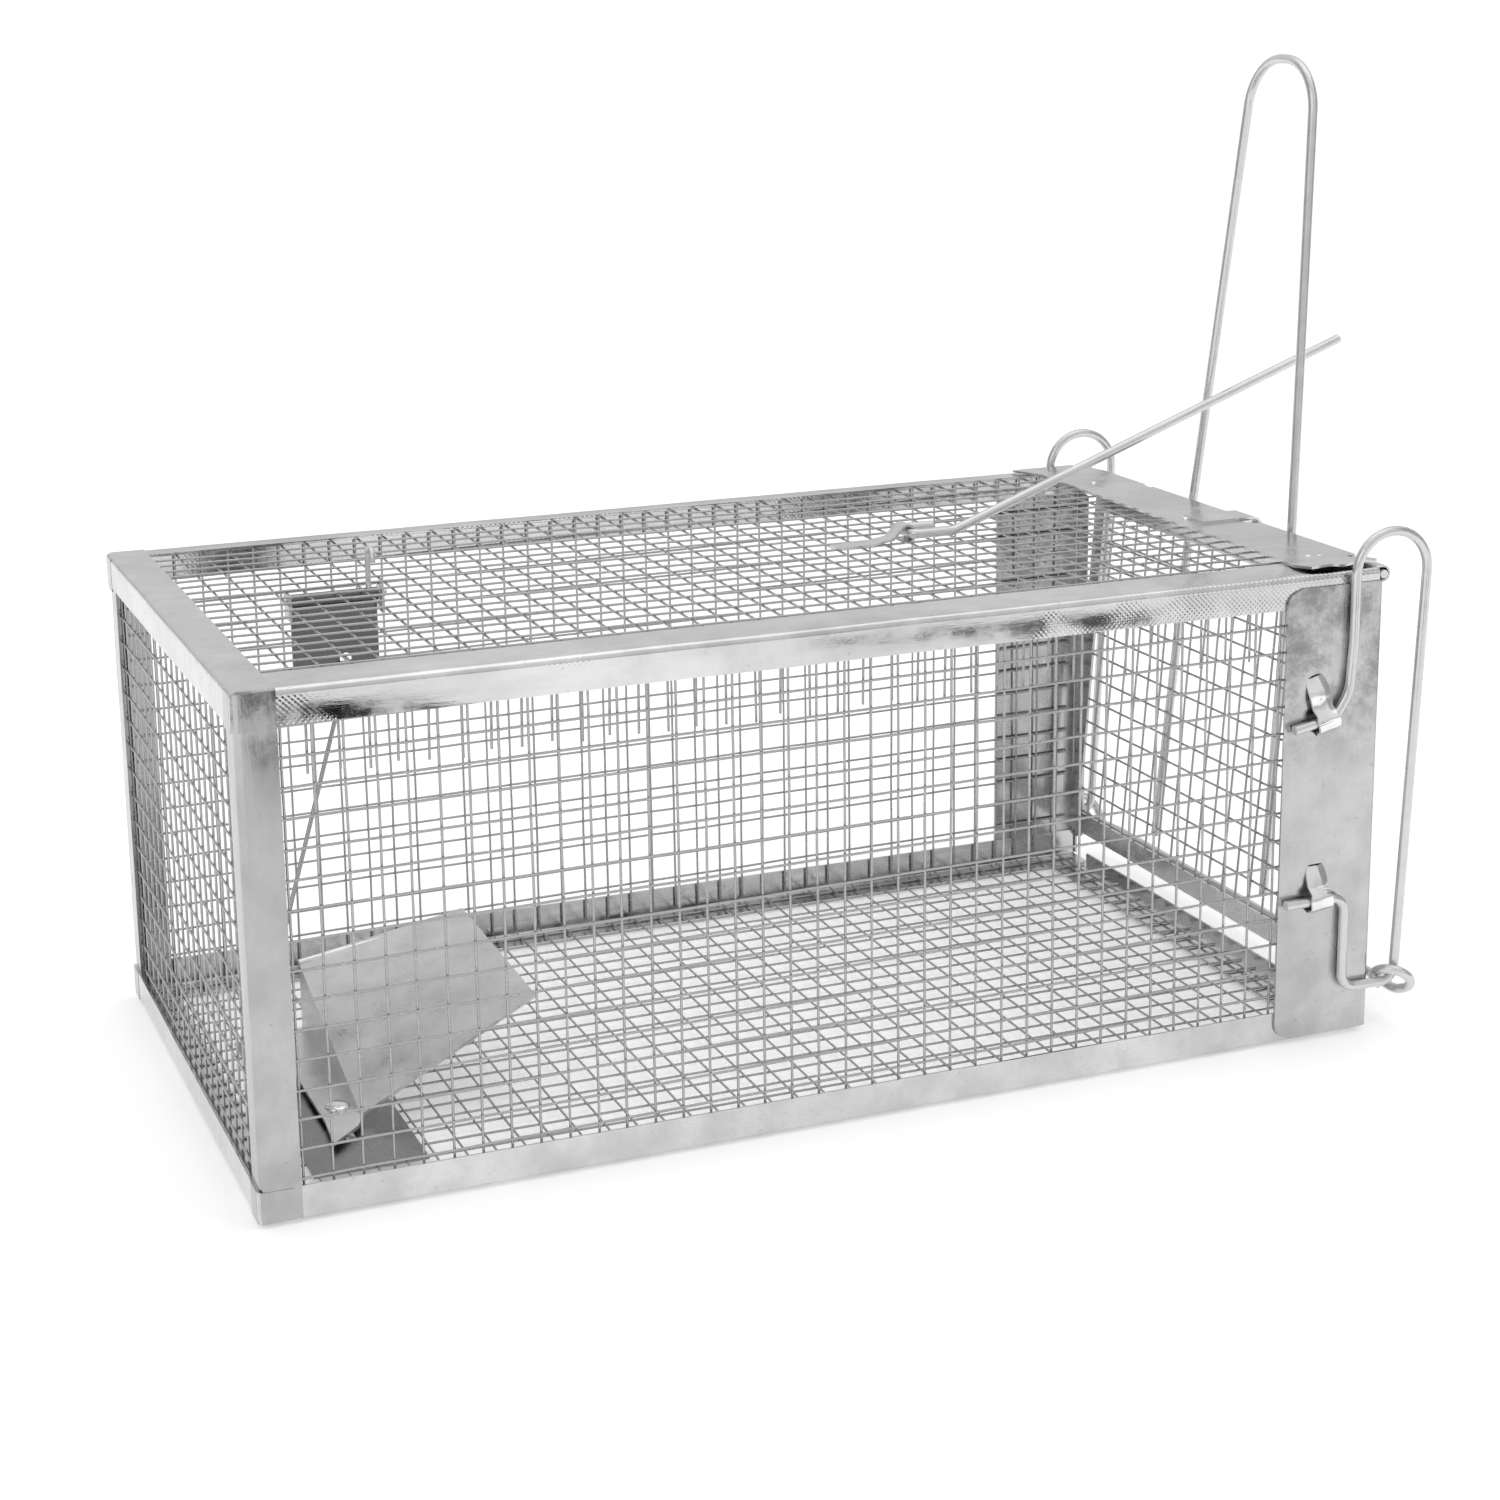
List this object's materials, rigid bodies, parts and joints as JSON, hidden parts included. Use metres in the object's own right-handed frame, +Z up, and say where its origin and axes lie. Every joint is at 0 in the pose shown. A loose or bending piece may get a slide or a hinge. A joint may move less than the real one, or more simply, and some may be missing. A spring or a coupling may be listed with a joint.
{
  "type": "live catch trap",
  "caption": "Welded-mesh box trap with sheet-metal edges, drop door with bail wire, sliding lock bar, latch rod, trigger hook and floor treadle.",
  "frame": {"origin": "on the ground in the middle of the door sill's underside", "axes": "+X along the box towards the door, +Y across it, +Z up"},
  "size_m": [0.3039, 0.1562, 0.2245],
  "materials": {
    "sheet": "bright galvanised sheet, semi-gloss with a faint mottle",
    "mesh": "galvanised welded wire, satin",
    "wire": "galvanised spring wire, smooth and bright"
  },
  "bodies": {
    "cage": {"back_bottom_rail": "sheet", "back_guide_wire": "wire", "back_jamb_plate": "sheet", "back_mesh": "mesh", "back_rear_post": "sheet", "back_top_rail": "sheet", "door_sill": "sheet", "floor_mesh": "mesh", "front_bottom_rail": "sheet", "front_guide_wire": "wire", "front_jamb_plate": "sheet", "front_mesh": "mesh", "front_rear_post": "sheet", "front_top_rail": "sheet", "hinge_pin": "wire", "hinge_strap": "sheet", "rear_bottom_strip": "sheet", "rear_mesh": "mesh", "rear_top_strip": "sheet", "rod_strap": "sheet", "top_end_plate": "sheet", "top_mesh": "mesh", "treadle_base": "sheet", "trigger_hanger": "sheet", "trigger_pin": "wire"},
    "door": {"door_mesh": "mesh", "door_top_rail": "sheet", "door_bottom_rail": "sheet", "door_front_stile": "sheet", "door_back_stile": "sheet", "bail": "wire"},
    "lock_bar": {"lock_bar": "wire"},
    "rod": {"latch_rod": "wire"},
    "trigger": {"trigger_plate": "sheet", "trigger_hook": "wire", "link_wire": "wire"},
    "treadle": {"treadle_plate": "sheet"}
  },
  "joints": [
    {"name": "door_hinge", "type": "hinge", "parent": "cage", "child": "door", "pos_m": [0.0076, 0, 0.11], "axis": [0, -1, 0], "range_deg": [0, 90]},
    {"name": "lock_bar_slide", "type": "slide", "parent": "cage", "child": "lock_bar", "axis": [0.0474, 0, 0.9989], "range_m": [0, 0.088]},
    {"name": "rod_pivot", "type": "hinge", "parent": "cage", "child": "rod", "pos_m": [-0.078, 0, 0.1136], "axis": [0, -1, 0], "range_deg": [0, 160]},
    {"name": "trigger_swing", "type": "hinge", "parent": "cage", "child": "trigger", "pos_m": [-0.2162, 0.0145, 0.1088], "axis": [1, 0, 0], "range_deg": [-10, 5]},
    {"name": "treadle_tilt", "type": "hinge", "parent": "cage", "child": "treadle", "pos_m": [-0.231, 0, 0.0016], "axis": [0, -1, 0], "range_deg": [-5, 2.5]}
  ],
  "couplings": [
    {"joint": "trigger_swing", "follows": "treadle_tilt", "ratio": 2}
  ]
}
